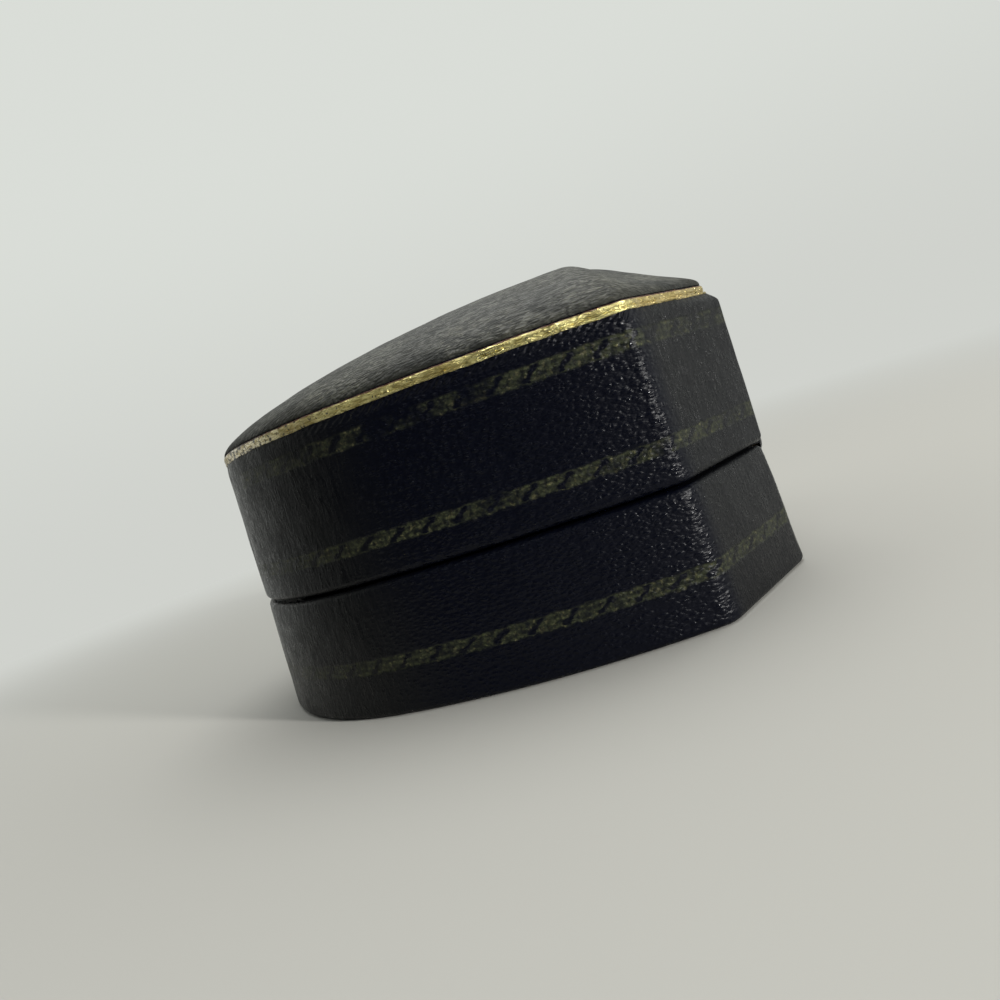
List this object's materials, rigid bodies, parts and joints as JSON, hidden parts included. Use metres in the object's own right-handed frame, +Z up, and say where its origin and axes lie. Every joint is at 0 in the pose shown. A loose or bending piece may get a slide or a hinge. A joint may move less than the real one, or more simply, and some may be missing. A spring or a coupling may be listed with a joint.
{
  "type": "ring display box",
  "caption": "Leather-covered ring box with a rounded front and canted back corners; the domed lid turns on a pinned hinge over velvet ring pads.",
  "frame": {"origin": "middle of the foot of the box, on the surface it stands on", "axes": "+Z up through the lid, +Y towards the hinge and the flat back, -Y towards the rounded front, +X to the right as seen from the front"},
  "size_m": [0.0598, 0.0556, 0.0364],
  "materials": {
    "side_leather": "fine pebble grain, half gloss, near-black navy with worn tooled bands",
    "top_leather": "straight fine grain, half gloss, greyed",
    "gilding": "gold leaf tooled into leather, worn and broken",
    "case_wood": "planed softwood",
    "underside_paper": "grained dark paper",
    "card": "strawboard",
    "velvet": "short pile silk velvet",
    "satin": "silk satin, slightly yellowed",
    "hinge_brass": "aged brass"
  },
  "bodies": {
    "base": {"base_wall": "case_wood", "base_floor": "case_wood", "base_leather": "side_leather", "base_underside": "underside_paper", "collar_card": "card", "collar_velvet": "velvet", "pad_board": "card", "ring_pad_front": "velvet", "ring_pad_back": "velvet", "hinge_leaf_base": "hinge_brass", "hinge_pin": "hinge_brass", "hinge_nails_base": "hinge_brass", "hinge_leather": "side_leather"},
    "lid": {"lid_wall": "case_wood", "lid_top_board": "case_wood", "lid_side_leather": "side_leather", "lid_top_leather": "top_leather", "gilt_line": "gilding", "lid_lining_band": "satin", "lid_lining_card": "card", "lid_lining_pad": "satin", "hinge_leaf_lid": "hinge_brass", "hinge_nails_lid": "hinge_brass"}
  },
  "joints": [
    {"name": "lid_hinge", "type": "hinge", "parent": "base", "child": "lid", "pos_m": [0, 0.02652, 0.01225], "axis": [-1, 0, 0], "range_deg": [0, 100], "deforming": ["hinge_leather"]}
  ]
}
